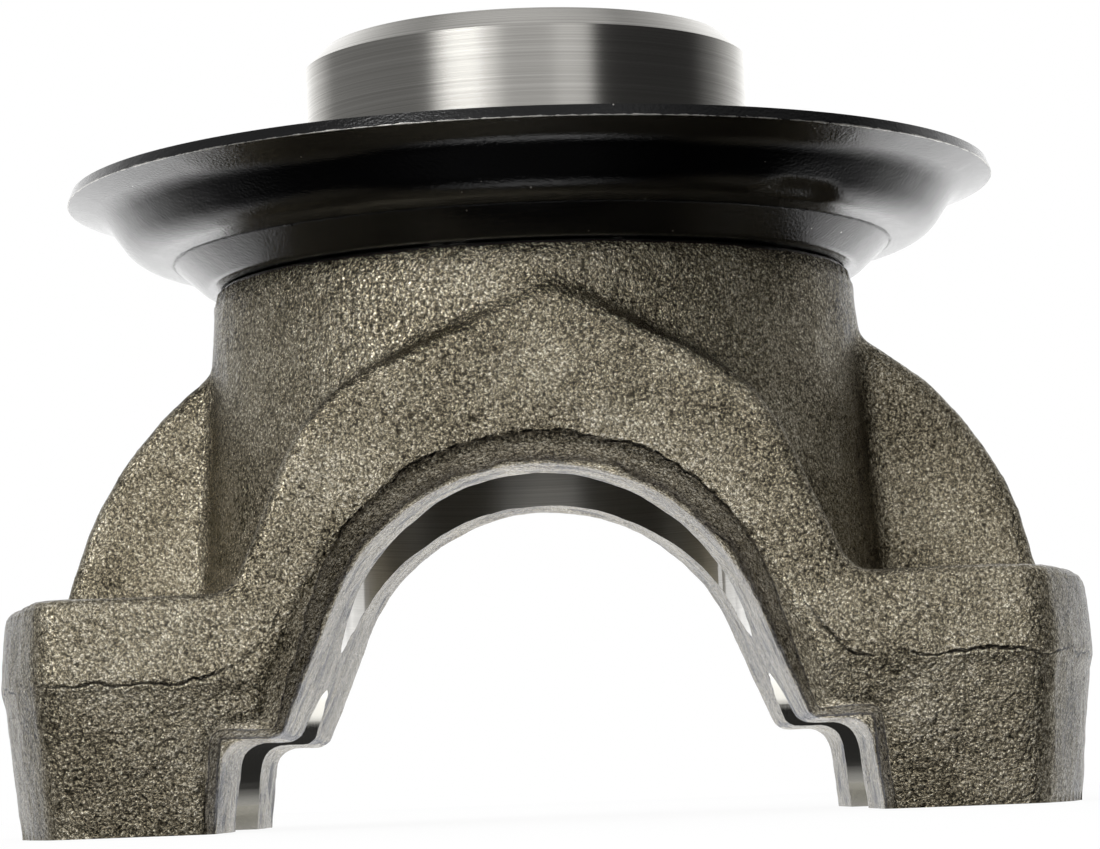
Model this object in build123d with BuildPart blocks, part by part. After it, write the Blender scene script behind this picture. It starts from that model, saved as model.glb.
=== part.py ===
from build123d import *
from math import cos, radians, sin, tan
import os

# Pinion end yoke: a steel forging with a splined hub and two ears, and a stamped dust slinger.
# The hub's axis is Z, the two bearing-cup saddles lie along X, and the ears stand on z = 0.

# Hub and oil-seal journal
overall_height = 88.3
journal_diameter = 50.8
journal_lead = 2.25
land_diameter = 53.4
land_height = 5.4
shoulder_diameter = 68.0
shoulder_rise = 0.8
barrel_diameter = 72.8
barrel_height = 60.2
barrel_edge = 0.7
barrel_draft = 4.0

# Forging block of the ears and the arch: every wall leans away from the parting level
parting_height = 15.8
block_length = 121.9
block_width = 81.2
flank_radius = 98.0
block_corner = 4.0
upper_draft = 4.0
lower_front_draft = 9.5
lower_flank_draft = 6.0
flash_step = 0.35
ear_height = 24.8
forging_edge = 1.5

# Pointed band over the arch
band_foot_half = 32.1
band_lean = 22.5
band_shoulder_drop = 15.6
band_shoulder_radius = 18.0
band_peak_drop = 3.7
band_peak_shift = 2.2
band_peak_radius = 4.0
band_root = 3.0

# Side webs between the barrel and the ears, under arcs of a centre's X, its drop from the barrel's top
# and a radius
web_thickness = 19.0
web_draft = 4.0
web_arcs = ((18.3, 39.8, 37.1), (-10.9, 44.1, 43.6))
web_edge = 1.8
forging_root = 2.4

# Tunnel between the ears
crown_height = 37.3
crown_radius = 24.0
wall_lean = 22.5
ledge_height = 9.6
ledge_corner = 1.4
ledge_root = 2.4
ear_gap = 69.4
ear_lean = 6.5
mouth_inset = 5.1
mouth_flare = 3.0
mouth_crown_flare = 4.8

# Turned nut pocket and splined bore
pocket_diameter = 46.6
pocket_height = 44.0
pilot_diameter = 37.0
pilot_depth = 9.2
spline_count = 28
spline_minor_diameter = 32.4
spline_major_diameter = 35.0
spline_flank_angle = 60.0
spline_tooth_share = 1 / 3
spline_overcut = 0.2
bore_lead = 1.2

# Bearing-cup saddles with their end stops, and the tapped strap holes
cup_diameter = 27.0
cup_axis_height = 2.0
cup_span = 106.4
stop_depth = 3.2
strap_hole_diameter = 7.0
strap_hole_spacing_x = 90.0
strap_hole_spacing_y = 46.0
strap_hole_lead = 0.8

# Dust slinger
slinger_sheet = 1.3
slinger_flat_diameter = 79.2
slinger_knuckle_diameter = 91.0
slinger_knuckle_rise = 2.9
slinger_bead_diameter = 97.2
slinger_bead_rise = 8.4
slinger_rim_diameter = 105.4
slinger_rim_rise = 9.9
slinger_bends = (9.0, 5.0, 3.0)
slinger_fit = 0.02

# Radii and places that follow from the sizes above, the cutters' overrun and how nearly edges are matched
shoulder_height = barrel_height + shoulder_rise
band_peak_height = barrel_height - band_peak_drop
band_shoulder_height = barrel_height - band_shoulder_drop
journal_radius = journal_diameter / 2
land_radius = land_diameter / 2
barrel_radius = barrel_diameter / 2
barrel_foot_height = ear_height - forging_edge - forging_root
barrel_foot_radius = barrel_radius + (barrel_height - barrel_foot_height) * tan(radians(barrel_draft))
cup_radius = cup_diameter / 2
overrun = 2.0
match = 0.01


def wall_profile(centre, reach, upper, lower):
    """Upright section of the block from its centre to a wall that leans away from the parting level."""
    top = reach - (band_peak_height - parting_height) * tan(radians(upper))
    foot = reach - flash_step - parting_height * tan(radians(lower))
    side = 1 if centre <= 0 else -1
    with BuildSketch() as profile:
        with BuildLine():
            Polyline((centre, 0), (centre + side * foot, 0),
                     (centre + side * (reach - flash_step), parting_height),
                     (centre + side * reach, parting_height),
                     (centre + side * top, band_peak_height), (centre, band_peak_height), close=True)
        make_face()
    return profile.sketch


def front_outline():
    """Both ears and the pointed band over the arch, as seen along Y."""
    shoulder_half = band_foot_half - (band_shoulder_height - ear_height) * tan(radians(band_lean))
    far = block_length
    with BuildSketch(Plane.XZ) as outline:
        with BuildLine():
            Polyline((far, -overrun), (far, ear_height), (band_foot_half, ear_height),
                     (shoulder_half, band_shoulder_height), (band_peak_shift, band_peak_height),
                     (-shoulder_half, band_shoulder_height), (-band_foot_half, ear_height),
                     (-far, ear_height), (-far, -overrun), close=True)
        make_face()
        corners = outline.vertices().group_by(Axis.Y)
        fillet(corners[-1], band_peak_radius)
        fillet(outline.vertices().filter_by(lambda v: abs(v.Y - band_shoulder_height) < match),
               band_shoulder_radius)
        fillet(outline.vertices().filter_by(lambda v: abs(abs(v.X) - band_foot_half) < match), band_root)
    return outline.sketch


def tunnel_profile(plane, flare, crown_flare):
    """Opening between the ears: an arch, leaning walls, a ledge over each ear and the ears' inner walls."""
    radius = crown_radius + crown_flare
    centre = crown_height - crown_radius
    lean = radians(wall_lean)
    tangent = (radius * cos(lean), centre + radius * sin(lean))
    ledge = ledge_height + flare
    ledge_half = tangent[0] + (tangent[1] - ledge) * tan(lean)
    floor_half = ear_gap / 2 + flare
    root_half = floor_half - ledge * tan(radians(ear_lean))
    drop_half = floor_half + overrun * tan(radians(ear_lean))
    with BuildSketch(plane) as opening:
        with BuildLine():
            ThreePointArc((tangent[0], tangent[1]), (0, centre + radius), (-tangent[0], tangent[1]))
            Polyline((-tangent[0], tangent[1]), (-ledge_half, ledge), (-root_half, ledge),
                     (-drop_half, -overrun), (drop_half, -overrun), (root_half, ledge),
                     (ledge_half, ledge), (tangent[0], tangent[1]))
        make_face()
        for half, radius_here in ((ledge_half, ledge_corner), (root_half, ledge_root)):
            fillet(opening.vertices().filter_by(
                lambda v: abs(abs(v.X) - half) < match and abs(v.Y - ledge) < match), radius_here)
    return opening.sketch


# Both dies' shares of the block: its pointed front view, its leaning fronts and its curved flanks
with BuildPart() as block:
    extrude(front_outline(), amount=block_width, both=True)
    with BuildSketch(Plane.YZ):
        add(wall_profile(0, block_width / 2, upper_draft, lower_front_draft))
        mirror(about=Plane.YZ)
    extrude(amount=block_length, both=True, mode=Mode.INTERSECT)
    for side in (1, -1):
        flank_centre = side * (block_length / 2 - flank_radius)
        with BuildSketch(Plane.XZ):
            add(wall_profile(flank_centre, flank_radius, upper_draft, lower_flank_draft))
        revolve(axis=Axis((flank_centre, 0, 0), (0, 0, 1)), mode=Mode.INTERSECT)
    corners = block.edges().filter_by_position(Axis.Z, flash_step, ear_height - flash_step)
    fillet(corners.filter_by(Plane.XY, reverse=True), block_corner)
    rims = block.edges().filter_by_position(Axis.Z, ear_height - match, band_peak_height)
    fillet(rims - rims.filter_by(Axis.Y), forging_edge)

# Webs: flat sides with draft, under an arc that falls from the barrel to the ears
with BuildPart() as webs:
    with BuildSketch(Plane.XY.offset(barrel_foot_height)):
        Rectangle(block_length, web_thickness)
    extrude(amount=barrel_height - barrel_foot_height, taper=web_draft)
    with BuildSketch(Plane.XZ):
        for reach, drop, radius in web_arcs:
            with Locations((reach, barrel_height - drop)):
                Circle(radius)
    extrude(amount=web_thickness, both=True, mode=Mode.INTERSECT)
    arcs = webs.edges().filter_by(GeomType.ELLIPSE)
    fillet(arcs.filter_by(lambda e: e.length > web_thickness), web_edge)

with BuildPart() as yoke_forging:
    # Barrel, slinger shoulder, press land and journal, turned about the hub's axis
    with BuildSketch(Plane.XZ):
        with BuildLine():
            Polyline((0, barrel_foot_height), (barrel_foot_radius, barrel_foot_height),
                     (barrel_radius, barrel_height - barrel_edge),
                     (barrel_radius - barrel_edge, barrel_height),
                     (shoulder_diameter / 2, barrel_height), (shoulder_diameter / 2, shoulder_height),
                     (land_radius, shoulder_height), (land_radius, shoulder_height + land_height),
                     (journal_radius, shoulder_height + land_height + land_radius - journal_radius),
                     (journal_radius, overall_height - journal_lead),
                     (journal_radius - journal_lead, overall_height), (0, overall_height), close=True)
        make_face()
    revolve(axis=Axis.Z)
    add(webs.part)
    add(block.part)

    # Roots of the barrel against the band, the webs and the ears, and of the webs on the ears
    barrel_wall = yoke_forging.faces().filter_by(GeomType.CONE).sort_by(SortBy.AREA)[-1]
    barrel_roots = barrel_wall.edges().filter_by_position(Axis.Z, ear_height, barrel_height - forging_root)
    web_feet = yoke_forging.edges().filter_by_position(Axis.Z, ear_height - match, ear_height + match)
    web_roots = web_feet.filter_by_position(Axis.Y, -web_thickness / 2, web_thickness / 2)
    fillet(barrel_roots.filter_by(Plane.XZ, reverse=True) + web_roots, forging_root)

    # Tunnel with a flared mouth at each face
    extrude(tunnel_profile(Plane.XZ, 0, 0), amount=block_width, both=True, mode=Mode.SUBTRACT)
    for side in (1, -1):
        inner = Plane.XZ.offset(side * (block_width / 2 - mouth_inset))
        outer = Plane.XZ.offset(side * (block_width / 2 + overrun))
        loft([tunnel_profile(inner, 0, 0), tunnel_profile(outer, mouth_flare, mouth_crown_flare)],
             ruled=True, mode=Mode.SUBTRACT)

    # Nut pocket, pilot bore and splined bore
    with BuildSketch():
        Circle(pocket_diameter / 2)
    extrude(amount=pocket_height, mode=Mode.SUBTRACT)
    with BuildSketch(Plane.XY.offset(pocket_height)):
        Circle(spline_minor_diameter / 2)
    extrude(amount=overall_height - pocket_height, mode=Mode.SUBTRACT)
    with BuildSketch(Plane.XY.offset(overall_height - pilot_depth)):
        Circle(pilot_diameter / 2)
    extrude(amount=pilot_depth, mode=Mode.SUBTRACT)
    tooth_pitch = 360 / spline_count
    with BuildSketch(Plane.XY.offset(pocket_height)):
        with PolarLocations((spline_minor_diameter + spline_major_diameter) / 4, spline_count):
            Trapezoid(spline_major_diameter * radians(tooth_pitch) * spline_tooth_share,
                      (spline_major_diameter - spline_minor_diameter) / 2 + spline_overcut,
                      spline_flank_angle, rotation=-90)
    extrude(amount=overall_height - pocket_height - pilot_depth, mode=Mode.SUBTRACT)
    hub_end = yoke_forging.edges().filter_by(GeomType.CIRCLE).group_by(Axis.Z)[-1]
    chamfer(hub_end.sort_by(SortBy.RADIUS)[0], bore_lead)

    # Saddles, open downwards, that end in a stop for the cup
    with BuildSketch(Plane.YZ):
        with Locations((0, cup_axis_height)):
            Circle(cup_radius)
            Rectangle(cup_diameter, cup_axis_height + overrun, align=(Align.CENTER, Align.MAX))
    extrude(amount=cup_span / 2, both=True, mode=Mode.SUBTRACT)
    groove_radius = cup_radius - stop_depth
    with BuildSketch(Plane.YZ):
        with Locations((0, cup_axis_height)):
            Circle(groove_radius)
            Rectangle(2 * groove_radius, cup_axis_height + overrun, align=(Align.CENTER, Align.MAX))
    extrude(amount=block_length, both=True, mode=Mode.SUBTRACT)
    with GridLocations(strap_hole_spacing_x, strap_hole_spacing_y, 2, 2):
        Hole(strap_hole_diameter / 2, ear_height)
    feet = yoke_forging.faces().filter_by(Axis.Z).group_by(Axis.Z)[0]
    chamfer(feet.edges().filter_by(lambda e: e.is_closed), strap_hole_lead)

# Slinger: one sheet, flat on the shoulder, then a bowl with a flared lip
with BuildPart() as dust_slinger:
    with BuildSketch(Plane.XZ):
        with BuildLine():
            FilletPolyline((land_radius + slinger_fit, shoulder_height),
                           (slinger_flat_diameter / 2, shoulder_height),
                           (slinger_knuckle_diameter / 2, shoulder_height + slinger_knuckle_rise),
                           (slinger_bead_diameter / 2, shoulder_height + slinger_bead_rise),
                           (slinger_rim_diameter / 2, shoulder_height + slinger_rim_rise),
                           radius=slinger_bends)
            offset(amount=slinger_sheet, side=Side.LEFT)
        make_face()
    revolve(axis=Axis.Z)

os.makedirs("parts", exist_ok=True)
yoke_forging.part.label = "yoke_forging"
dust_slinger.part.label = "dust_slinger"
export_step(yoke_forging.part, "parts/yoke_forging.step")
export_step(dust_slinger.part, "parts/dust_slinger.step")
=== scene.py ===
import math

import bmesh
import bpy
import numpy as np
from mathutils import Matrix, Vector


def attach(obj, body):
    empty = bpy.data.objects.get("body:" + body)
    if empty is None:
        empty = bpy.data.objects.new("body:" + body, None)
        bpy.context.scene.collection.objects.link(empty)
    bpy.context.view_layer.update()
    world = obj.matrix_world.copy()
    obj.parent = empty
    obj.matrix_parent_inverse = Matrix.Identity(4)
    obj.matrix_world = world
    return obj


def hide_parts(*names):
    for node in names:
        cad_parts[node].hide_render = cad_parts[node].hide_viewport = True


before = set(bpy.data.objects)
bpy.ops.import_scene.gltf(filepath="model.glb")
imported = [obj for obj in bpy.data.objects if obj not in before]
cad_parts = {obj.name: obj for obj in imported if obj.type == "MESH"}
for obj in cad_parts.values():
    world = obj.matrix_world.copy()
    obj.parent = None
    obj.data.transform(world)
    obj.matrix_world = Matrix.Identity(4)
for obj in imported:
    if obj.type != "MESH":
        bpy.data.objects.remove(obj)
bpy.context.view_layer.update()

bl_info = {
    "name": "Pinion end yoke",
    "version": (1, 0, 0),
    "blender": (4, 5, 0),
    "location": "3D View > Sidebar > End yoke",
    "description": "Dresses the packed end yoke: forged skin, turned faces, coated slinger and a studio",
    "category": "Object",
}

MM = 0.001
SCENE = bpy.context.scene


# Small helpers ------------------------------------------------------------------------------------

def linear(code):
    """An sRGB hex colour as linear RGBA."""
    out = []
    for start in (1, 3, 5):
        value = int(code[start:start + 2], 16) / 255
        out.append(value / 12.92 if value <= 0.04045 else ((value + 0.055) / 1.055) ** 2.4)
    return (*out, 1.0)


def grey(level):
    """A linear grey as RGBA."""
    return (level, level, level, 1.0)


def add(tree, kind, inputs=None, stops=(), **settings):
    """Adds one node. Inputs maps a socket's name or number to a value or to another node's socket, and stops
    holds a colour ramp's places and colours."""
    node = tree.nodes.new(kind)
    for name, value in settings.items():
        setattr(node, name, value)
    for key, value in (inputs or {}).items():
        if isinstance(value, bpy.types.NodeSocket):
            tree.links.new(value, node.inputs[key])
        else:
            node.inputs[key].default_value = value
    if stops:
        band = node.color_ramp.elements
        while len(band) < len(stops):
            band.new(0.5)
        for element, (position, colour) in zip(band, stops):
            element.position = position
            element.color = colour
    return node


def surface(name):
    """A new material and its empty node tree."""
    material = bpy.data.materials.new(name)
    material.use_nodes = True
    material.node_tree.nodes.clear()
    return material, material.node_tree


def place(name, mesh):
    """A new object at the origin that shows mesh."""
    piece = bpy.data.objects.new(name, mesh)
    SCENE.collection.objects.link(piece)
    return piece


def baked(piece):
    """The piece's evaluated mesh, with its modifiers applied."""
    graph = bpy.context.evaluated_depsgraph_get()
    return bpy.data.meshes.new_from_object(piece.evaluated_get(graph))


def settle(piece):
    """Turns the piece's modifiers into its mesh and removes them."""
    mesh = baked(piece)
    piece.modifiers.clear()
    piece.data = mesh
    return piece


# Materials ----------------------------------------------------------------------------------------

def blasted_steel(tone):
    """Hot-forged steel, shot blasted: a crinkled grain whose facets glint, with painted shade in the grain's
    hollows and the pits, a lap with painted shade along its groove, and a ragged step where the flash was
    trimmed, with painted shade along the sheared edge."""
    material, tree = surface("shot_blasted_forged_steel")
    where = add(tree, "ShaderNodeTexCoord").outputs["Object"]
    grain = add(tree, "ShaderNodeTexNoise", {"Vector": where, "Scale": 1 / (0.24 * MM), "Detail": 3.0,
                                            "Roughness": 0.62, "Distortion": 0.4})
    shift = add(tree, "ShaderNodeVectorMath", {0: grain.outputs["Color"], "Scale": 0.45 * MM},
                operation="SCALE")
    shift = add(tree, "ShaderNodeVectorMath", {0: where, 1: shift.outputs[0]}, operation="ADD")
    pits = add(tree, "ShaderNodeTexVoronoi", {"Vector": shift.outputs[0], "Scale": 1 / (0.50 * MM)})
    drawn = add(tree, "ShaderNodeMapping", {"Vector": where,
                                            "Scale": (1 / (1.3 * MM), 1 / (1.3 * MM), 1 / (11 * MM))})
    flow = add(tree, "ShaderNodeTexNoise", {"Vector": drawn.outputs[0], "Scale": 1.0, "Detail": 3.0})
    swell = add(tree, "ShaderNodeTexNoise", {"Vector": where, "Scale": 1 / (2.2 * MM), "Detail": 2.0})
    blotch = add(tree, "ShaderNodeTexNoise", {"Vector": where, "Scale": 1 / (9.0 * MM), "Detail": 3.0})

    # The trimmed flash: a lap that wanders around the parting level, with painted shade along its groove
    seam = add(tree, "ShaderNodeAttribute", attribute_name="seam")
    wander = add(tree, "ShaderNodeTexNoise", {"Vector": where, "Scale": 1 / (5.0 * MM), "Detail": 4.0,
                                             "Roughness": 0.6})
    near = add(tree, "ShaderNodeMath", {0: wander.outputs["Fac"], 1: -3.0, 2: seam.outputs["Fac"]},
               operation="MULTIPLY_ADD")
    near = add(tree, "ShaderNodeMath", {0: near.outputs[0], 1: 1.5}, operation="ADD")
    level = add(tree, "ShaderNodeSeparateXYZ", {0: where})
    shown = add(tree, "ShaderNodeMapRange", {"Value": level.outputs["Z"], "From Min": 27 * MM,
                                            "From Max": 19 * MM})
    patchy = add(tree, "ShaderNodeMapRange", {"Value": blotch.outputs["Fac"], "From Min": 0.38,
                                             "From Max": 0.52})
    shown = add(tree, "ShaderNodeMath", {0: shown.outputs[0], 1: patchy.outputs[0]}, operation="MULTIPLY")
    near = add(tree, "ShaderNodeMapRange", {"Value": near.outputs[0], "From Min": -2.0, "From Max": 2.0})
    lap = add(tree, "ShaderNodeValToRGB", {"Fac": near.outputs[0]},
              stops=((0.0, grey(0.5)), (0.40, grey(0.46)), (0.47, grey(0.0)), (0.55, grey(0.85)),
                     (0.72, grey(0.62)), (1.0, grey(0.5))))
    lap = add(tree, "ShaderNodeMath", {0: lap.outputs["Color"], 1: 0.5}, operation="SUBTRACT")
    lap = add(tree, "ShaderNodeMath", {0: lap.outputs[0], 1: shown.outputs[0]}, operation="MULTIPLY")
    painted_lap_shade = add(tree, "ShaderNodeMapRange", {"Value": lap.outputs[0], "From Min": -0.50, "From Max": -0.20})

    # The edge around the tunnel's mouths: a ragged step where the flash was sheared off, with painted shade
    # over the down-turned strip and in a line along the step. The attribute is 0 at the step and -1 at the
    # tunnel's wall.
    beside = add(tree, "ShaderNodeAttribute", attribute_name="lip")
    beside = add(tree, "ShaderNodeMath", {0: wander.outputs["Fac"], 1: -0.7, 2: beside.outputs["Fac"]},
                 operation="MULTIPLY_ADD")
    beside = add(tree, "ShaderNodeMapRange", {"Value": beside.outputs[0], "From Min": -1.5, "From Max": 0.5})
    step = add(tree, "ShaderNodeValToRGB", {"Fac": beside.outputs[0]},
               stops=((0.15, grey(0.0)), (0.22, grey(0.35)), (0.55, grey(0.45)), (0.60, grey(1.0))))
    # The sheared mask places painted shade: most over the strip by the tunnel's wall, and in a thin dark line
    # at the step
    sheared = add(tree, "ShaderNodeValToRGB", {"Fac": beside.outputs[0]},
                  stops=((0.08, grey(0.0)), (0.15, grey(0.85)), (0.30, grey(0.45)), (0.50, grey(0.5)),
                         (0.56, grey(0.8)), (0.60, grey(0.0))))

    # Each pattern's depth in millimetres
    height = add(tree, "ShaderNodeMath", {0: grain.outputs["Fac"], 1: 0.15}, operation="MULTIPLY")
    for source, depth in ((pits.outputs["Distance"], -0.12), (swell.outputs["Fac"], 0.22),
                          (flow.outputs["Fac"], 0.14), (lap.outputs[0], 0.26), (step.outputs["Color"], 0.36)):
        height = add(tree, "ShaderNodeMath", {0: source, 1: depth, 2: height.outputs[0]},
                     operation="MULTIPLY_ADD")
    bump = add(tree, "ShaderNodeBump", {"Height": height.outputs[0], "Strength": 1.0, "Distance": MM})
    # Colour: a tone that varies at random over blotches, with painted shade darkening the grain's hollows and
    # the pits' borders
    worn = add(tree, "ShaderNodeMath", {0: blotch.outputs["Fac"], 1: 0.30, 2: grain.outputs["Fac"]},
               operation="MULTIPLY_ADD")
    worn = add(tree, "ShaderNodeMath", {0: pits.outputs["Distance"], 1: -0.22, 2: worn.outputs[0]},
               operation="MULTIPLY_ADD")
    colour = add(tree, "ShaderNodeValToRGB", {"Fac": worn.outputs[0]},
                 stops=((0.36, linear("#332d23")), (0.54, tone), (0.77, linear("#eee7d5"))))
    # Painted shade mixed into the skin's colour: dark brown by the sheared mask, then near-black along the
    # lap
    painted_shade_colour = add(tree, "ShaderNodeMix", {0: sheared.outputs["Color"], 6: colour.outputs["Color"],
                                       7: linear("#2b251e")}, data_type="RGBA")
    # Painted shade along the lap's groove: a near-black brown mixed in where the lap dips
    painted_shade_colour = add(tree, "ShaderNodeMix", {0: painted_lap_shade.outputs[0], 6: linear("#211d17"), 7: painted_shade_colour.outputs[2]},
                data_type="RGBA")
    shader = add(tree, "ShaderNodeBsdfPrincipled", {
        "Base Color": painted_shade_colour.outputs[2], "Metallic": 1.0, "Roughness": 0.25,
        "Specular Tint": linear("#b6b9c0"), "Normal": bump.outputs["Normal"]})
    add(tree, "ShaderNodeOutputMaterial", {"Surface": shader.outputs[0]})
    return material


def turned_steel(name, roughness, stretch):
    """Lathe-turned steel: fine rings around the hub's axis that draw highlights out into upright bands."""
    material, tree = surface(name)
    where = add(tree, "ShaderNodeTexCoord").outputs["Object"]
    rings = add(tree, "ShaderNodeMapping", {"Vector": where, "Scale": (12.0, 12.0, 1 / (0.12 * MM))})
    feed = add(tree, "ShaderNodeTexNoise", {"Vector": rings.outputs[0], "Scale": 1.0, "Detail": 3.0,
                                           "Roughness": 0.7})
    bump = add(tree, "ShaderNodeBump", {"Height": feed.outputs["Fac"], "Strength": 0.22,
                                        "Distance": 0.012 * MM})
    colour = add(tree, "ShaderNodeValToRGB", {"Fac": feed.outputs["Fac"]},
                 stops=((0.3, linear("#a9a7a2")), (0.7, linear("#c9c7c2"))))
    shader = add(tree, "ShaderNodeBsdfPrincipled", {
        "Base Color": colour.outputs["Color"], "Metallic": 1.0, "Roughness": roughness,
        "Anisotropic": stretch, "Anisotropic Rotation": 0.25, "Normal": bump.outputs["Normal"]})
    tangent = add(tree, "ShaderNodeTangent", direction_type="RADIAL", axis="Z")
    tree.links.new(tangent.outputs[0], shader.inputs["Tangent"])
    add(tree, "ShaderNodeOutputMaterial", {"Surface": shader.outputs[0]})
    return material


def bored_steel():
    """Bored and milled steel of the saddles, feet and holes: straight tool marks along the cut."""
    material, tree = surface("bored_steel")
    where = add(tree, "ShaderNodeTexCoord").outputs["Object"]
    marks = add(tree, "ShaderNodeMapping", {"Vector": where, "Scale": (1 / (0.18 * MM), 60.0, 60.0)})
    feed = add(tree, "ShaderNodeTexNoise", {"Vector": marks.outputs[0], "Scale": 1.0, "Detail": 2.0})
    bump = add(tree, "ShaderNodeBump", {"Height": feed.outputs["Fac"], "Strength": 0.4,
                                        "Distance": 0.02 * MM})
    shader = add(tree, "ShaderNodeBsdfPrincipled", {
        "Base Color": linear("#bdbbb4"), "Metallic": 1.0, "Roughness": 0.16,
        "Normal": bump.outputs["Normal"]})
    add(tree, "ShaderNodeOutputMaterial", {"Surface": shader.outputs[0]})
    return material


def gap_shade_steel():
    """Near-black steel, matt and uneven: painted shade for the shoulder in the gap under the slinger."""
    material, tree = surface("painted_gap_shade_black")
    where = add(tree, "ShaderNodeTexCoord").outputs["Object"]
    unevenness = add(tree, "ShaderNodeTexNoise", {"Vector": where, "Scale": 1 / (0.6 * MM), "Detail": 3.0})
    bump = add(tree, "ShaderNodeBump", {"Height": unevenness.outputs["Fac"], "Strength": 1.0,
                                        "Distance": 0.1 * MM})
    # Near-black colour: painted shade standing for the gap's shadow
    shader = add(tree, "ShaderNodeBsdfPrincipled", {
        "Base Color": linear("#151413"), "Roughness": 0.7, "Normal": bump.outputs["Normal"]})
    add(tree, "ShaderNodeOutputMaterial", {"Surface": shader.outputs[0]})
    return material


def coated_sheet(rim, crease, colour):
    """Stamped steel under gloss black electrocoat, with a fine peel, a broken score along its crease, and
    chips to bright metal along its rim's lower edge. Both are a radius and a height in millimetres."""
    material, tree = surface("gloss_black_electrocoat")
    where = add(tree, "ShaderNodeTexCoord").outputs["Object"]
    ripple = add(tree, "ShaderNodeTexNoise", {"Vector": where, "Scale": 1 / (6.0 * MM), "Detail": 1.0})
    peel = add(tree, "ShaderNodeTexNoise", {"Vector": where, "Scale": 1 / (0.3 * MM), "Detail": 3.0})
    specks = add(tree, "ShaderNodeTexVoronoi", {"Vector": where, "Scale": 1 / (2.6 * MM)})
    flat = add(tree, "ShaderNodeVectorMath", {0: where, 1: (1.0, 1.0, 0.0)}, operation="MULTIPLY")
    radius = add(tree, "ShaderNodeVectorMath", {0: flat.outputs[0]}, operation="LENGTH")
    level = add(tree, "ShaderNodeSeparateXYZ", {0: where})
    section = add(tree, "ShaderNodeCombineXYZ", {0: radius.outputs["Value"], 1: level.outputs["Z"]})
    corner, bend = (add(tree, "ShaderNodeVectorMath", {0: section.outputs[0], 1: Vector((*ring, 0)) * MM},
                        operation="DISTANCE").outputs["Value"] for ring in (rim, crease))
    nick = add(tree, "ShaderNodeTexNoise", {"Vector": where, "Scale": 1 / (1.6 * MM), "Detail": 5.0,
                                           "Roughness": 0.8})
    reach = add(tree, "ShaderNodeMapRange", {"Value": nick.outputs["Fac"], "From Min": 0.40, "From Max": 0.72,
                                            "To Max": 0.26 * MM})
    bare = add(tree, "ShaderNodeMath", {0: corner, 1: reach.outputs[0]}, operation="LESS_THAN")
    chip = add(tree, "ShaderNodeMath", {0: specks.outputs["Distance"], 1: 0.035}, operation="LESS_THAN")
    bare = add(tree, "ShaderNodeMath", {0: bare.outputs[0], 1: chip.outputs[0]}, operation="MAXIMUM")
    width = add(tree, "ShaderNodeMapRange", {"Value": nick.outputs["Fac"], "From Min": 0.40, "From Max": 0.60,
                                            "To Min": 0.05 * MM, "To Max": 0.30 * MM})
    score = add(tree, "ShaderNodeMapRange", {"Value": bend, "From Min": 0.0, "From Max": width.outputs[0],
                                            "To Min": -6.0, "To Max": 0.0})
    height = add(tree, "ShaderNodeMath", {0: peel.outputs["Fac"], 1: 2.2, 2: score.outputs[0]},
                 operation="MULTIPLY_ADD")
    height = add(tree, "ShaderNodeMath", {0: ripple.outputs["Fac"], 1: 4.0, 2: height.outputs[0]},
                 operation="MULTIPLY_ADD")
    bump = add(tree, "ShaderNodeBump", {"Height": height.outputs[0], "Strength": 1.0, "Distance": 0.02 * MM})
    coat = add(tree, "ShaderNodeBsdfPrincipled", {
        "Base Color": colour, "Roughness": 0.16, "IOR": 1.5, "Normal": bump.outputs["Normal"]})
    metal = add(tree, "ShaderNodeBsdfPrincipled", {
        "Base Color": linear("#b4b2ae"), "Metallic": 1.0, "Roughness": 0.35,
        "Normal": bump.outputs["Normal"]})
    mixed = add(tree, "ShaderNodeMixShader", {0: bare.outputs[0], 1: coat.outputs[0], 2: metal.outputs[0]})
    add(tree, "ShaderNodeOutputMaterial", {"Surface": mixed.outputs[0]})
    return material


def studio_paper(seen_white):
    """White paper: nearly white to the camera with a soft shadow, and left out of reflections, so that the
    metal shows the white room instead."""
    material, tree = surface("white_studio_paper")
    light = add(tree, "ShaderNodeLightPath")
    tone = add(tree, "ShaderNodeMix", {0: light.outputs["Is Camera Ray"], 6: linear("#a8a8a8"),
                                      7: linear("#f2f2f2")}, data_type="RGBA")
    paper = add(tree, "ShaderNodeBsdfDiffuse", {"Color": tone.outputs[2]})
    glow = add(tree, "ShaderNodeEmission", {"Color": linear("#ffffff"), "Strength": 1.04})
    share = add(tree, "ShaderNodeMath", {0: light.outputs["Is Camera Ray"], 1: seen_white},
                operation="MULTIPLY")
    seen = add(tree, "ShaderNodeMixShader", {0: share.outputs[0], 1: paper.outputs[0], 2: glow.outputs[0]})
    mirrored = add(tree, "ShaderNodeMath", {0: light.outputs["Is Glossy Ray"],
                                           1: light.outputs["Is Transmission Ray"]}, operation="MAXIMUM")
    clear = add(tree, "ShaderNodeBsdfTransparent")
    mixed = add(tree, "ShaderNodeMixShader", {0: mirrored.outputs[0], 1: seen.outputs[0],
                                              2: clear.outputs[0]})
    add(tree, "ShaderNodeOutputMaterial", {"Surface": mixed.outputs[0]})
    return material


# Solid tools --------------------------------------------------------------------------------------

def solid(name, bm, material=None):
    """A new object of the bmesh, with its faces outwards."""
    bmesh.ops.recalc_face_normals(bm, faces=bm.faces)
    mesh = bpy.data.meshes.new(name)
    bm.to_mesh(mesh)
    bm.free()
    if material:
        mesh.materials.append(material)
    return place(name, mesh)


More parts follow.
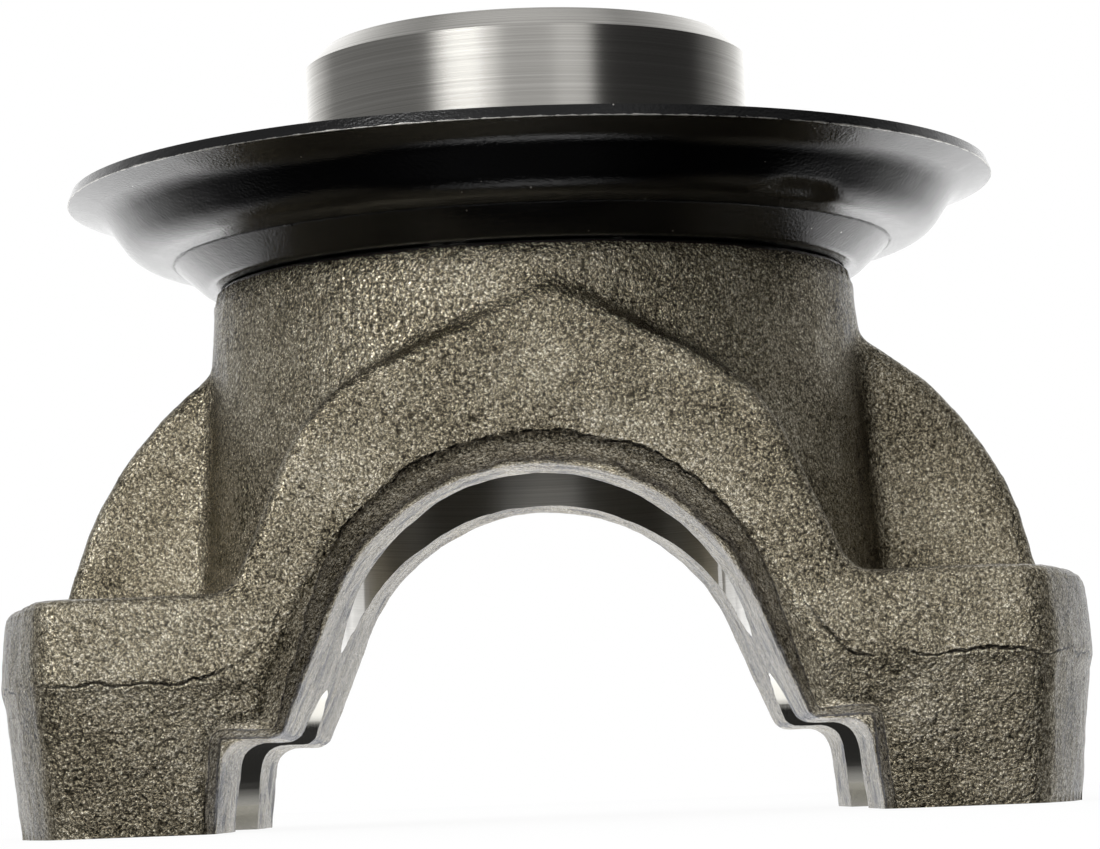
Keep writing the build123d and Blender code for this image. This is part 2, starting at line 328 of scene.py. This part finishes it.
def spun(name, profile, segments, material=None):
    """A closed solid of revolution about Z from (radius, height) points in mm, drawn counter-clockwise."""
    bm = bmesh.new()
    rings = []
    for radius, height in profile:
        if radius < 1e-6:
            rings.append([bm.verts.new((0, 0, height * MM))])
            continue
        rings.append([bm.verts.new((radius * MM * math.cos(2 * math.pi * k / segments),
                                    radius * MM * math.sin(2 * math.pi * k / segments), height * MM))
                      for k in range(segments)])
    for lower, upper in zip(rings, rings[1:] + rings[:1]):
        if len(lower) == 1 and len(upper) == 1:
            continue
        for k in range(segments):
            n = (k + 1) % segments
            if len(lower) == 1:
                bm.faces.new((lower[0], upper[n], upper[k]))
            elif len(upper) == 1:
                bm.faces.new((lower[k], lower[n], upper[0]))
            else:
                bm.faces.new((lower[k], lower[n], upper[n], upper[k]))
    return solid(name, bm, material)


def prism(name, outline, start, end, axis, material=None):
    """A closed prism of an outline in mm, along axis 0, 1 or 2, from start to end."""
    bm = bmesh.new()
    ends = []
    for level in (start, end):
        ring = []
        for u, v in outline:
            point = [u, v]
            point.insert(axis, level)
            ring.append(bm.verts.new(Vector(point) * MM))
        ends.append(ring)
    for k, first in enumerate(ends[0]):
        n = (k + 1) % len(outline)
        bm.faces.new((first, ends[0][n], ends[1][n], ends[1][k]))
    bm.faces.new(ends[0])
    bm.faces.new(ends[1])
    return solid(name, bm, material)


def tapped(name, low, high, material, segments=36):
    """The closed screw that a tap leaves as a hole, about Z from low to high in mm: rows of points that climb
    one pitch a turn, by turns at the thread's root and at its crest."""
    bm = bmesh.new()
    rows = []
    for row in range(2 * round((high - low) / THREAD_PITCH)):
        radius = (HOLE_R, THREAD_R)[row % 2]
        points = []
        for k in range(segments):
            turn = 2 * math.pi * k / segments
            climb = (row / 2 + k / segments) * THREAD_PITCH
            points.append(bm.verts.new(Vector((radius * math.cos(turn), radius * math.sin(turn),
                                               low + climb)) * MM))
        rows.append(points)
    for row, (lower, upper) in enumerate(zip(rows, rows[1:])):
        for k in range(segments - 1):
            bm.faces.new((lower[k], lower[k + 1], upper[k + 1], upper[k]))
        if row + 3 < len(rows):
            bm.faces.new((lower[-1], rows[row + 2][0], rows[row + 3][0], upper[-1]))
    ends = [edge for edge in bm.edges if edge.is_boundary]
    middle = 0.5 * (low + high) * MM
    for level, above in ((low - 0.5, False), (high + 1, True)):
        tip = bm.verts.new((0, 0, level * MM))
        for edge in ends:
            if (edge.verts[0].co.z > middle) == above:
                bm.faces.new((*edge.verts, tip))
    return solid(name, bm, material)


def trough(radius, height, depth, steps=48):
    """Outline (y, z) of a half-round channel about height, with straight sides down to depth."""
    arch = [(radius * math.cos(math.pi * k / steps), height + radius * math.sin(math.pi * k / steps))
            for k in range(steps + 1)]
    return [(radius, depth)] + arch + [(-radius, depth)]


def rounded(corners, radii, steps=8):
    """A path of (radius, height) points with an arc at each inner corner."""
    path = [corners[0]]
    for k, radius in enumerate(radii, start=1):
        before, here, after = (Vector(corners[i]) for i in (k - 1, k, k + 1))
        a, b = (before - here).normalized(), (after - here).normalized()
        half = a.angle(b) / 2
        centre = here + (a + b).normalized() * radius / math.sin(half)
        first = here + a * radius / math.tan(half)
        last = here + b * radius / math.tan(half)
        start, end = first - centre, last - centre
        turn = start.angle_signed(end)
        for step in range(steps + 1):
            angle = -turn * step / steps
            path.append(tuple(centre + Matrix.Rotation(angle, 2) @ start))
    path.append(corners[-1])
    return path


def shifted(path, amount):
    """The path moved to its left side by amount."""
    out = []
    for k, point in enumerate(path):
        ahead = Vector(path[min(k + 1, len(path) - 1)]) - Vector(path[max(k - 1, 0)])
        ahead.normalize()
        out.append((point[0] - ahead.y * amount, point[1] + ahead.x * amount))
    return out


def machine(piece, tool, operation):
    """Cuts or joins a tool to the piece and removes the tool."""
    step = piece.modifiers.new(tool.name, "BOOLEAN")
    step.operation = operation
    step.object = tool
    step.solver = "MANIFOLD"
    step.material_mode = "TRANSFER"
    settle(piece)
    bpy.data.objects.remove(tool)


# Settings -----------------------------------------------------------------------------------------

class YokeSettings(bpy.types.PropertyGroup):
    voxel: bpy.props.FloatProperty(
        name="Skin mesh", description="Spacing of the forged skin's mesh",
        default=0.74 * MM, min=0.5 * MM, unit="LENGTH")
    peen: bpy.props.FloatProperty(
        name="Peening height", description="Height of the blasted skin's dents",
        default=0.32 * MM, unit="LENGTH")
    peen_pitch: bpy.props.FloatProperty(
        name="Peening pitch", description="Width of the blasted skin's dents",
        default=2.2 * MM, unit="LENGTH")
    swell: bpy.props.FloatProperty(
        name="Swell height", description="Height of the die-worn waves", default=0.60 * MM, unit="LENGTH")
    swell_pitch: bpy.props.FloatProperty(
        name="Swell pitch", description="Width of the die-worn waves", default=9.0 * MM, unit="LENGTH")
    stock: bpy.props.FloatProperty(
        name="Machining stock", description="Metal left on the forging for machining",
        default=1.2 * MM, unit="LENGTH")
    lip: bpy.props.FloatProperty(
        name="Trimmed lip", description="Width of the sheared edge at the tunnel's crown",
        default=3.2 * MM, unit="LENGTH")
    lip_depth: bpy.props.FloatProperty(
        name="Lip depth", description="How far the sheared edge falls back", default=0.75 * MM, unit="LENGTH")
    steel: bpy.props.FloatVectorProperty(
        name="Blasted steel", description="Middle tone of the forged skin",
        default=linear("#aba189"), size=4, subtype="COLOR")


class SlingerSettings(bpy.types.PropertyGroup):
    sheet: bpy.props.FloatProperty(
        name="Sheet", description="Thickness of the stamped sheet", default=1.3 * MM, unit="LENGTH")
    rim_radius: bpy.props.FloatProperty(
        name="Rim radius", description="Outer radius of the lip", default=52.7 * MM, unit="LENGTH")
    dent: bpy.props.FloatProperty(
        name="Dent", description="Depth of the knock in the bowl's bend", default=0.7 * MM, unit="LENGTH")
    coat: bpy.props.FloatVectorProperty(
        name="Coating", description="Colour of the electrocoat",
        default=linear("#030304"), size=4, subtype="COLOR")


class StudioSettings(bpy.types.PropertyGroup):
    floor_size: bpy.props.FloatProperty(
        name="Floor size", description="Side of the floor", default=1.2, unit="LENGTH")
    fill: bpy.props.FloatProperty(
        name="Room", description="Strength of the light from the studio's panels", default=2.0)


# Hub sizes in millimetres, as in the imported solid
BARREL_TOP, BARREL_RIM = 60.2, 36.4
SHOULDER_R, SHOULDER_TOP, SEAT_TOP, SEAT_CHAMFER = 34.0, 61.0, 60.85, 0.8
LAND_R, LAND_TOP, JOURNAL_R, HUB_TOP, HUB_LEAD = 26.7, 66.4, 25.4, 88.3, 2.25
PILOT_R, PILOT_FLOOR, BORE_LEAD = 18.5, 79.1, 1.2
TOOTH_TIP_R, TOOTH_ROOT_R, TEETH = 16.2, 17.5, 28
POCKET_R, POCKET_TOP = 23.3, 44.0
CUP_R, CUP_HEIGHT, CUP_REACH, STOP_R, EAR_REACH = 13.5, 2.0, 53.2, 10.3, 70.0
HOLES, HOLE_R, HOLE_LEAD, EAR_TOP = ((45, 23), (45, -23), (-45, 23), (-45, -23)), 3.5, 0.8, 24.8
THREAD_R, THREAD_PITCH = 3.97, 25.4 / 24
BELOW, ABOVE, BESIDE = -8.0, 110.0, 62.0        # clear of the part, for the cuts through it

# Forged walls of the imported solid, in millimetres and degrees
PARTING, FLANK_R, FLANK_FOOT_R, FLANK_CENTRE = 15.8, 97.65, 95.99, -37.05
CROWN_R, CROWN_CENTRE, TUNNEL_LEAN = 24.0, 13.3, 22.5
LEDGE, EAR_GAP_HALF, EAR_LEAN, LEDGE_CORNER, LEDGE_ROOT = 9.6, 34.7, 6.5, 1.4, 2.4

# Where the flash was trimmed, in millimetres: the seam's distance from the tunnel, the length over which it
# turns level, and how deep in the wall the rolled edge starts
SEAM_BESIDE, SEAM_TURN, LIP_ROOT = 4.6, 12.0, 6.0

# The slinger's section in millimetres: its bends, as radius and height over the shoulder, and their roundings
SLINGER_FIT, RIM_RISE = 0.02, 9.9
SLINGER_BENDS = ((37.4, 0.0), (40.9, 3.1), (45.3, 3.7), (48.6, 8.4))
SLINGER_ROUNDS = (1.5, 0.3, 5.0, 4.0)

# The knock in the slinger: degrees round from the front, then its place and reach in millimetres
DENT_TURN, DENT_R, DENT_HEIGHT, DENT_REACH, DENT_WIDTH = 40.0, 45.0, 64.9, 4.6, 1.6

# The photograph's view, in millimetres and degrees
LENS, VIEW_PLACE, VIEW_AHEAD = 122.89, (4.11, -426.68, 3.08), (-0.00647, 0.99524, 0.09725)
VIEW_TURN, VIEW_ROLL = 0.372, -2.175


def tunnel():
    """Outline (x, z) of the opening between the ears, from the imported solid's sizes."""
    lean, ear = math.radians(TUNNEL_LEAN), math.tan(math.radians(EAR_LEAN))
    top = (CROWN_R * math.cos(lean), CROWN_CENTRE + CROWN_R * math.sin(lean))
    ledge = top[0] + (top[1] - LEDGE) * math.tan(lean)
    side = rounded([(EAR_GAP_HALF - BELOW * ear, BELOW), (EAR_GAP_HALF - LEDGE * ear, LEDGE),
                    (ledge, LEDGE), top], (LEDGE_ROOT, LEDGE_CORNER))
    arch = []
    for step in range(1, 48):
        turn = lean + (math.pi - 2 * lean) * step / 48
        arch.append((CROWN_R * math.cos(turn), CROWN_CENTRE + CROWN_R * math.sin(turn)))
    return side + arch + [(-x, z) for x, z in reversed(side)]


def beside_tunnel(x, z):
    """Distances outwards from the wall of the opening between the ears, in the plane of its outline."""
    lean = math.radians(TUNNEL_LEAN)
    x = abs(x)
    wall = x * math.cos(lean) + (z - CROWN_CENTRE) * math.sin(lean)
    arch = np.hypot(x, z - CROWN_CENTRE)
    arch = np.where(z - CROWN_CENTRE > x * math.tan(lean), arch, wall) - CROWN_R
    out = x - EAR_GAP_HALF + z * math.tan(math.radians(EAR_LEAN))
    gap = np.where(z > LEDGE, np.hypot(np.maximum(out, 0), z - LEDGE), out)
    return arch, np.minimum(arch, gap)


def lip_width(z, widest):
    """Width of the sheared edge: full at the crown, a third of that at the ears."""
    return widest * (0.35 + 0.65 * np.clip((z - 12) / 24, 0, 1))


class YOKE_OT_forging(bpy.types.Operator):
    """Makes the forging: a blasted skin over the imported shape, cut crisp where it is machined"""
    bl_idname = "yoke.forging"
    bl_label = "Forging"

    def execute(self, context):
        s = context.scene.yoke
        skin, bored = blasted_steel(s.steel), bored_steel()
        turned = turned_steel("turned_steel", 0.25, 0.75)
        pocket = turned_steel("bored_pocket_steel", 0.34, 0.9)
        piece = place("forging", self.blank(s))
        self.leave_stock(piece.data, s)
        self.peen(piece, s, skin)
        self.cut(piece, turned, pocket, bored)
        self.paint_gap_shade(piece.data)
        self.mark_trim(piece.data, s)
        piece.data.set_sharp_from_angle(angle=math.radians(38))
        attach(piece, "root")
        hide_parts("yoke_forging")
        return {"FINISHED"}

    def blank(self, s):
        """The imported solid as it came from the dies, before any machining, as one evenly spaced mesh."""
        bm = bmesh.new()
        bm.from_mesh(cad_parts["yoke_forging"].data)
        bmesh.ops.remove_doubles(bm, verts=bm.verts, dist=1e-7)
        for plug in self.plugs():
            bm.from_mesh(plug.data)
            bpy.data.objects.remove(plug)
        mesh = bpy.data.meshes.new("blank")
        bm.to_mesh(mesh)
        bm.free()
        piece = place("blank", mesh)
        step = piece.modifiers.new("even", "REMESH")
        step.mode = "VOXEL"
        step.voxel_size = s.voxel
        settle(piece)
        blend = piece.modifiers.new("soften", "SMOOTH")
        blend.factor = 0.5
        blend.iterations = 2
        settle(piece)
        mesh = piece.data
        bpy.data.objects.remove(piece)
        return mesh

    def plugs(self):
        """Solids that fill every machined hollow up to the forged surface around it."""
        bore = spun("bore_plug", [(0, POCKET_TOP + 2), (TOOTH_ROOT_R + 2, POCKET_TOP + 2),
                                  (TOOTH_ROOT_R + 2, HUB_TOP - 1), (0, HUB_TOP - 1)], 48)
        pocket = spun("pocket_plug", [(0, 12), (POCKET_R + 1, 12), (POCKET_R + 1, POCKET_TOP + 2),
                                      (0, POCKET_TOP + 2)], 96)
        machine(pocket, prism("tunnel_cut", tunnel(), -60, 60, 1), "DIFFERENCE")
        made = [bore, pocket]
        for x, y in HOLES:
            hole = spun("hole_plug", [(0, 0), (HOLE_R + 1.5, 0), (HOLE_R + 1.5, EAR_TOP), (0, EAR_TOP)], 32)
            hole.data.transform(Matrix.Translation((x * MM, y * MM, 0)))
            made.append(hole)
        for side in (1, -1):
            saddle = prism("saddle_plug", trough(CUP_R + 0.8, CUP_HEIGHT, 0), side * 15, side * 70, 0)
            machine(saddle, prism("tunnel_cut", tunnel(), -60, 60, 1), "DIFFERENCE")
            flank = spun("flank_limit", [(0, -1), (FLANK_FOOT_R, 0), (FLANK_R, PARTING), (0, PARTING + 1)],
                         720)
            flank.data.transform(Matrix.Translation((side * FLANK_CENTRE * MM, 0, 0)))
            machine(saddle, flank, "INTERSECT")
            made.append(saddle)
        return made

    def leave_stock(self, mesh, s):
        """Moves the feet downwards and the barrel's top upwards, so that the cuts through them are crisp, and
        rolls back the edge around the tunnel's mouths, where the flash was sheared off."""
        voxel, stock, lip, depth = s.voxel / MM, s.stock / MM, s.lip / MM, s.lip_depth / MM
        points = np.empty(len(mesh.vertices) * 3)
        mesh.vertices.foreach_get("co", points)
        p = points.reshape(-1, 3) / MM
        x, y, z = p.T
        beside = beside_tunnel(x, z)[1]
        width = lip_width(z, lip)

        # How far out the face beside the lip stands, read off around the tunnel; 0 where there is none
        turn = np.degrees(np.arctan2(z - CROWN_CENTRE, abs(x)))
        places = np.arange(-40, 92, 3)
        faces = []
        for middle in places:
            ring = (beside > width) & (beside < width + 1.5) & (abs(turn - middle) < 2.5)
            faces.append(abs(y[ring]).max() if ring.any() else 0)
        root = np.interp(turn, places, faces) - LIP_ROOT
        fall = depth * lip_width(z, 1.0) * (1 - np.clip(beside / width, 0, 1))
        near = (abs(y) > root) & (root > 20) & (beside < width)
        rolled = np.sign(y) * (root + (abs(y) - root) * (1 - fall / LIP_ROOT))
        p[:, 1] = np.where(near, rolled, y)
        p[z < voxel * 0.6, 2] -= stock
        top = (abs(z - BARREL_TOP) < voxel * 0.6) & (np.hypot(x, y) > SHOULDER_R + 0.2)
        p[top, 2] += stock
        mesh.vertices.foreach_set("co", (p * MM).ravel())
        mesh.update()

    def paint_gap_shade(self, mesh):
        """Paints the shoulder between the barrel and the slinger near-black, as painted shade in the gap."""
        mesh.materials.append(gap_shade_steel())
        for face in mesh.polygons:
            x, y, z = face.center / MM
            if SEAT_TOP - 0.02 < z < SHOULDER_TOP - 0.01 and math.hypot(x, y) > SHOULDER_R - 1:
                face.material_index = len(mesh.materials) - 1

    def mark_trim(self, mesh, s):
        """Keeps two measures at each point: how far above the trimmed flash it lies, in millimetres, where
        the flash runs around the ears and up beside the tunnel, and how far out from the sheared edge, in
        widths of that edge."""
        points = np.empty(len(mesh.vertices) * 3)
        mesh.vertices.foreach_get("co", points)
        x, y, z = points.reshape(-1, 3).T / MM
        arch, beside = beside_tunnel(x, z)
        arch, above = arch - SEAM_BESIDE, z - PARTING
        blend = np.clip(0.5 + (arch - above) / SEAM_TURN, 0, 1)
        height = arch * (1 - blend) + above * blend - 0.5 * SEAM_TURN * blend * (1 - blend)
        for name, values in (("seam", height), ("lip", beside / lip_width(z, s.lip / MM) - 1)):
            kept = mesh.attributes.new(name, "FLOAT", "POINT")
            kept.data.foreach_set("value", values.astype(np.float32))

    def peen(self, piece, s, skin):
        """Dents and waves along the surface, from one node tree with named sizes and a fixed seed."""
        tree = bpy.data.node_groups.new("blasted_skin", "GeometryNodeTree")
        sockets = {}
        face = tree.interface
        face.new_socket("Geometry", in_out="INPUT", socket_type="NodeSocketGeometry")
        for name in ("Peening height", "Peening pitch", "Swell height", "Swell pitch"):
            sockets[name] = face.new_socket(name, in_out="INPUT", socket_type="NodeSocketFloat").identifier
        finish = face.new_socket("Finish", in_out="INPUT", socket_type="NodeSocketMaterial")
        sockets["Finish"] = finish.identifier
        face.new_socket("Geometry", in_out="OUTPUT", socket_type="NodeSocketGeometry")
        given = add(tree, "NodeGroupInput").outputs
        normal = add(tree, "GeometryNodeInputNormal").outputs[0]
        offsets = []
        for kind, seed in (("Peening", 3.7), ("Swell", 11.3)):
            scale = add(tree, "ShaderNodeMath", {0: 1.0, 1: given[kind + " pitch"]}, operation="DIVIDE")
            waves = add(tree, "ShaderNodeTexNoise", {"W": seed, "Scale": scale.outputs[0], "Detail": 2.0},
                        noise_dimensions="4D")
            centred = add(tree, "ShaderNodeMath", {0: waves.outputs["Fac"], 1: 0.5}, operation="SUBTRACT")
            offsets.append(add(tree, "ShaderNodeMath", {0: centred.outputs[0], 1: given[kind + " height"]},
                               operation="MULTIPLY").outputs[0])
        total = add(tree, "ShaderNodeMath", {0: offsets[0], 1: offsets[1]}, operation="ADD")
        push = add(tree, "ShaderNodeVectorMath", {0: normal, "Scale": total.outputs[0]}, operation="SCALE")
        moved = add(tree, "GeometryNodeSetPosition", {"Geometry": given["Geometry"],
                                                      "Offset": push.outputs[0]})
        whole = add(tree, "GeometryNodeRealizeInstances", {"Geometry": moved.outputs[0]})
        painted = add(tree, "GeometryNodeSetMaterial", {"Geometry": whole.outputs[0],
                                                        "Material": given["Finish"]})
        add(tree, "NodeGroupOutput", {0: painted.outputs[0]})
        step = piece.modifiers.new("skin", "NODES")
        step.node_group = tree
        for name, value in (("Peening height", s.peen), ("Peening pitch", s.peen_pitch),
                            ("Swell height", s.swell), ("Swell pitch", s.swell_pitch), ("Finish", skin)):
            step[sockets[name]] = value
        settle(piece)

    def cut(self, piece, turned, bored_pocket, bored):
        """Machines the forging in the order a shop would."""
        low = SEAT_TOP - SEAT_CHAMFER - 1
        top = [(0, SEAT_TOP), (BARREL_RIM - SEAT_CHAMFER, SEAT_TOP), (BARREL_RIM + 1, low), (BESIDE, low),
               (BESIDE, ABOVE), (0, ABOVE)]
        machine(piece, spun("face_cut", top, 256, turned), "DIFFERENCE")
        hub = [(0, POCKET_TOP + 6), (SHOULDER_R, POCKET_TOP + 6), (SHOULDER_R, SHOULDER_TOP),
               (LAND_R, SHOULDER_TOP), (LAND_R, LAND_TOP), (JOURNAL_R, LAND_TOP + LAND_R - JOURNAL_R),
               (JOURNAL_R, HUB_TOP - HUB_LEAD), (JOURNAL_R - HUB_LEAD, HUB_TOP), (0, HUB_TOP)]
        machine(piece, spun("hub_turning", hub, 256, turned), "UNION")
        pocket = [(0, BELOW), (POCKET_R, BELOW), (POCKET_R, POCKET_TOP), (0, POCKET_TOP)]
        machine(piece, spun("pocket_cut", pocket, 192, bored_pocket), "DIFFERENCE")
        pilot = [(0, PILOT_FLOOR), (PILOT_R, PILOT_FLOOR), (PILOT_R, HUB_TOP - BORE_LEAD),
                 (PILOT_R + BORE_LEAD + 2, HUB_TOP + 2), (0, HUB_TOP + 2)]
        machine(piece, spun("pilot_cut", pilot, 144, turned), "DIFFERENCE")
        teeth = []
        for tooth in range(TEETH):
            for share, radius in ((-0.27, TOOTH_TIP_R), (-0.17, TOOTH_ROOT_R), (0.17, TOOTH_ROOT_R),
                                  (0.27, TOOTH_TIP_R)):
                turn = 2 * math.pi * (tooth + share) / TEETH
                teeth.append((radius * math.cos(turn), radius * math.sin(turn)))
        machine(piece, prism("broach", teeth, POCKET_TOP - 3, PILOT_FLOOR + 3, 2, turned), "DIFFERENCE")
        for radius, reach in ((CUP_R, CUP_REACH), (STOP_R, EAR_REACH)):
            machine(piece, prism("saddle_cut", trough(radius, CUP_HEIGHT, BELOW), -reach, reach, 0, bored),
                    "DIFFERENCE")
        floor = [(-90, -60), (90, -60), (90, 60), (-90, 60)]
        machine(piece, prism("foot_cut", floor, BELOW, 0, 2, bored), "DIFFERENCE")
        for x, y in HOLES:
            cone = [(0, -2), (HOLE_R + HOLE_LEAD + 2, -2), (0, HOLE_R + HOLE_LEAD)]
            lead = spun("lead_cut", cone, 48, bored)
            for tool in (tapped("tapped_hole", -1.5, EAR_TOP + 2, bored), lead):
                tool.data.transform(Matrix.Translation((x * MM, y * MM, 0)))
                machine(piece, tool, "DIFFERENCE")


class YOKE_OT_slinger(bpy.types.Operator):
    """Spins the stamped dust slinger: flat seat, creased cone, bowl and flared lip"""
    bl_idname = "yoke.slinger"
    bl_label = "Dust slinger"

    def execute(self, context):
        s = context.scene.slinger
        bends = ((LAND_R + SLINGER_FIT, 0), *SLINGER_BENDS, (s.rim_radius / MM, RIM_RISE))
        bends = [(radius, SHOULDER_TOP + rise) for radius, rise in bends]
        outer = rounded(bends, SLINGER_ROUNDS)
        inner = shifted(outer, s.sheet / MM)
        finish = coated_sheet(rim=bends[-1], crease=bends[2], colour=s.coat)
        piece = spun("slinger", outer + inner[::-1], 320, finish)
        self.dent(piece.data, s.dent / MM)
        piece.data.set_sharp_from_angle(angle=math.radians(35))
        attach(piece, "root")
        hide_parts("dust_slinger")
        return {"FINISHED"}

    def dent(self, mesh, depth):
        """Knocks in the bowl's bend once, to the right of its front, as long as a finger is wide."""
        points = np.empty(len(mesh.vertices) * 3)
        mesh.vertices.foreach_get("co", points)
        p = points.reshape(-1, 3) / MM
        radius = np.hypot(p[:, 0], p[:, 1])
        along = radius * (np.arctan2(p[:, 0], -p[:, 1]) - math.radians(DENT_TURN))
        across = np.hypot(radius - DENT_R, p[:, 2] - DENT_HEIGHT)
        push = depth * np.exp(-(along / DENT_REACH) ** 4 - (across / DENT_WIDTH) ** 2)
        p[:, :2] *= (1 - 0.5 * push / radius)[:, None]
        p[:, 2] += 0.87 * push
        mesh.vertices.foreach_set("co", (p * MM).ravel())
        mesh.update()


# The room's panels: degrees round from the camera's side, to the right, and half their brightness
ROOM = ((-180, 0.78), (-154, 0.74), (-138, 0.48), (-118, 0.14), (-50, 0.11), (-44, 0.60), (-15, 0.60),
        (-10, 0.34), (14, 0.36), (18, 0.48), (33, 0.46), (38, 0.02), (98, 0.02), (116, 0.14), (138, 0.44),
        (154, 0.74), (180, 0.78))


class YOKE_OT_studio(bpy.types.Operator):
    """Sets the paper floor, the backdrop, the soft lights and the camera"""
    bl_idname = "yoke.studio"
    bl_label = "Studio"

    def execute(self, context):
        s = context.scene.studio
        SCENE.view_settings.view_transform = "Standard"
        half = s.floor_size / 2
        self.card("floor", [(-half, -half, 0), (half, -half, 0), (half, half, 0), (-half, half, 0)],
                  studio_paper(0.9))
        self.room(s.fill)
        self.lamp("key_left", (-0.50, -0.80, 0.62), 0.35, 0.35, 2.4)
        self.lamp("top", (0.0, -0.10, 1.1), 0.8, 0.8, 1.0)
        self.camera()
        return {"FINISHED"}

    def card(self, name, corners, material):
        mesh = bpy.data.meshes.new(name)
        mesh.from_pydata(corners, [], [(0, 1, 2, 3)])
        mesh.materials.append(material)
        place(name, mesh)

    def room(self, strength):
        """A tent of soft panels around the object: white behind and overhead, a softbox in front to the left,
        a paler strip to the right of the middle and a dark gap beyond it. The camera sees plain white."""
        world = bpy.data.worlds.new("studio_room")
        world.use_nodes = True
        tree = world.node_tree
        tree.nodes.clear()
        ahead = add(tree, "ShaderNodeSeparateXYZ", {0: add(tree, "ShaderNodeTexCoord").outputs["Generated"]})
        front = add(tree, "ShaderNodeMath", {0: ahead.outputs["Y"], 1: -1.0}, operation="MULTIPLY")
        turn = add(tree, "ShaderNodeMath", {0: ahead.outputs["X"], 1: front.outputs[0]}, operation="ARCTAN2")
        around = add(tree, "ShaderNodeMapRange", {"Value": turn.outputs[0], "From Min": -math.pi,
                                                 "From Max": math.pi})
        panels = add(tree, "ShaderNodeValToRGB", {"Fac": around.outputs[0]},
                     stops=[(degrees / 360 + 0.5, grey(level)) for degrees, level in ROOM])
        height = add(tree, "ShaderNodeMapRange", {"Value": ahead.outputs["Z"], "From Min": 0.55,
                                                 "From Max": 0.85})
        walls = add(tree, "ShaderNodeMix", {0: height.outputs[0], 6: panels.outputs["Color"], 7: grey(0.2)},
                    data_type="RGBA")
        aside = add(tree, "ShaderNodeMath", {0: turn.outputs[0]}, operation="ABSOLUTE")
        low = add(tree, "ShaderNodeMapRange", {"Value": ahead.outputs["Z"], "From Min": -0.42,
                                              "From Max": -0.05, "To Min": 0.04})
        behind = add(tree, "ShaderNodeMapRange", {"Value": aside.outputs[0], "From Min": math.radians(85),
                                                 "From Max": math.radians(135)})
        past = add(tree, "ShaderNodeMapRange", {"Value": ahead.outputs["Y"], "From Min": 0.0,
                                               "From Max": 0.25})
        behind = add(tree, "ShaderNodeMath", {0: behind.outputs[0], 1: past.outputs[0]}, operation="MULTIPLY")
        low = add(tree, "ShaderNodeMath", {0: low.outputs[0], 1: behind.outputs[0]}, operation="MAXIMUM")
        sweep = add(tree, "ShaderNodeMapRange", {"Value": ahead.outputs["Z"], "From Min": -0.05,
                                                "From Max": -0.30, "To Min": 1.0, "To Max": 1.25})
        low = add(tree, "ShaderNodeMath", {0: low.outputs[0], 1: sweep.outputs[0]}, operation="MULTIPLY")
        glow = add(tree, "ShaderNodeMath", {0: low.outputs[0], 1: strength}, operation="MULTIPLY")
        light = add(tree, "ShaderNodeLightPath")
        inside = add(tree, "ShaderNodeBackground", {"Color": walls.outputs[2], "Strength": glow.outputs[0]})
        white = add(tree, "ShaderNodeBackground", {"Color": linear("#ffffff"), "Strength": 1.0})
        seen = add(tree, "ShaderNodeMixShader", {0: light.outputs["Is Camera Ray"], 1: inside.outputs[0],
                                                2: white.outputs[0]})
        add(tree, "ShaderNodeOutputWorld", {"Surface": seen.outputs[0]})
        SCENE.world = world

    def lamp(self, name, where, width, height, power):
        data = bpy.data.lights.new(name, "AREA")
        data.shape = "RECTANGLE"
        data.size, data.size_y, data.energy = width, height, power
        lamp = place(name, data)
        lamp.location = where
        aim = Vector((0, 0, 0.045)) - Vector(where)
        lamp.rotation_euler = aim.to_track_quat("-Z", "Y").to_euler()

    def camera(self):
        """The photograph's view: a long lens near the floor, a little off square, tipped up."""
        data = bpy.data.cameras.new("view")
        data.lens, data.sensor_width = LENS, 36.0
        data.clip_start, data.clip_end = 0.05, 20.0
        camera = place("view", data)
        turn, roll = math.radians(VIEW_TURN), math.radians(VIEW_ROLL)
        ahead = Vector(VIEW_AHEAD).normalized()
        level = Vector((math.cos(turn), math.sin(turn), 0))
        over = level.cross(ahead).normalized()
        level = ahead.cross(over)
        right = level * math.cos(roll) + over * math.sin(roll)
        up = over * math.cos(roll) - level * math.sin(roll)
        turned = Matrix((right, up, -ahead)).transposed().to_4x4()
        camera.matrix_world = Matrix.Translation(Vector(VIEW_PLACE) * MM) @ turned
        SCENE.camera = camera


class YOKE_PT_panel(bpy.types.Panel):
    """Sizes of the dressed yoke and one button for each piece"""
    bl_idname = "YOKE_PT_panel"
    bl_label = "End yoke"
    bl_space_type = "VIEW_3D"
    bl_region_type = "UI"
    bl_category = "End yoke"

    def draw(self, context):
        for group in (context.scene.yoke, context.scene.slinger, context.scene.studio):
            for name in group.__annotations__:
                self.layout.prop(group, name)
        for operator in OPERATORS:
            self.layout.operator(operator.bl_idname)


OPERATORS = (YOKE_OT_forging, YOKE_OT_slinger, YOKE_OT_studio)
GROUPS = {"yoke": YokeSettings, "slinger": SlingerSettings, "studio": StudioSettings}


def register():
    for kind in (*GROUPS.values(), *OPERATORS, YOKE_PT_panel):
        bpy.utils.register_class(kind)
    for name, kind in GROUPS.items():
        setattr(bpy.types.Scene, name, bpy.props.PointerProperty(type=kind))


def unregister():
    for name in GROUPS:
        delattr(bpy.types.Scene, name)
    for kind in (YOKE_PT_panel, *reversed(OPERATORS), *reversed(GROUPS.values())):
        bpy.utils.unregister_class(kind)


def main():
    register()
    bpy.ops.yoke.forging()
    bpy.ops.yoke.slinger()
    bpy.ops.yoke.studio()


if __name__ == "__main__":
    main()
